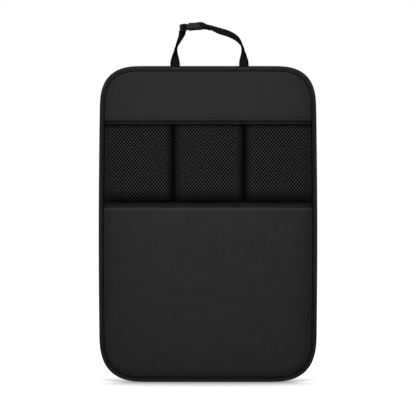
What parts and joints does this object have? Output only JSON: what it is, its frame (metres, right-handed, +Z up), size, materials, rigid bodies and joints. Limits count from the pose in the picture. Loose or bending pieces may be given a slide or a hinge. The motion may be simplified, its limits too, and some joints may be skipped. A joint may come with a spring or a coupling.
{
  "type": "seat back protector",
  "caption": "Padded seat back protector: bound rectangular panel with a row of net pockets and a buckled webbing loop that hangs it from the headrest posts.",
  "frame": {"origin": "centre of the flat back face of the panel, the face that lies against the seat back", "axes": "+Z up the panel towards the strap loop, +Y backwards out of the back face, +X across the panel"},
  "size_m": [0.45, 0.0375, 0.7418],
  "materials": {
    "cover": "matte fine-grained coated cloth",
    "foam": "open foam",
    "backing": "non-woven cloth",
    "binding": "woven tape",
    "net": "knitted net",
    "webbing": "ribbed webbing",
    "buckle": "satin moulded plastic"
  },
  "bodies": {
    "root": {"front_cover": "cover", "foam_core": "foam", "back_cover": "backing", "edge_binding": "binding", "pocket_net": "net", "pocket_hem": "binding", "pocket_base_tape": "binding", "strap_left": "webbing", "strap_right": "webbing", "buckle_socket": "buckle", "buckle_prongs": "buckle"}
  },
  "joints": []
}
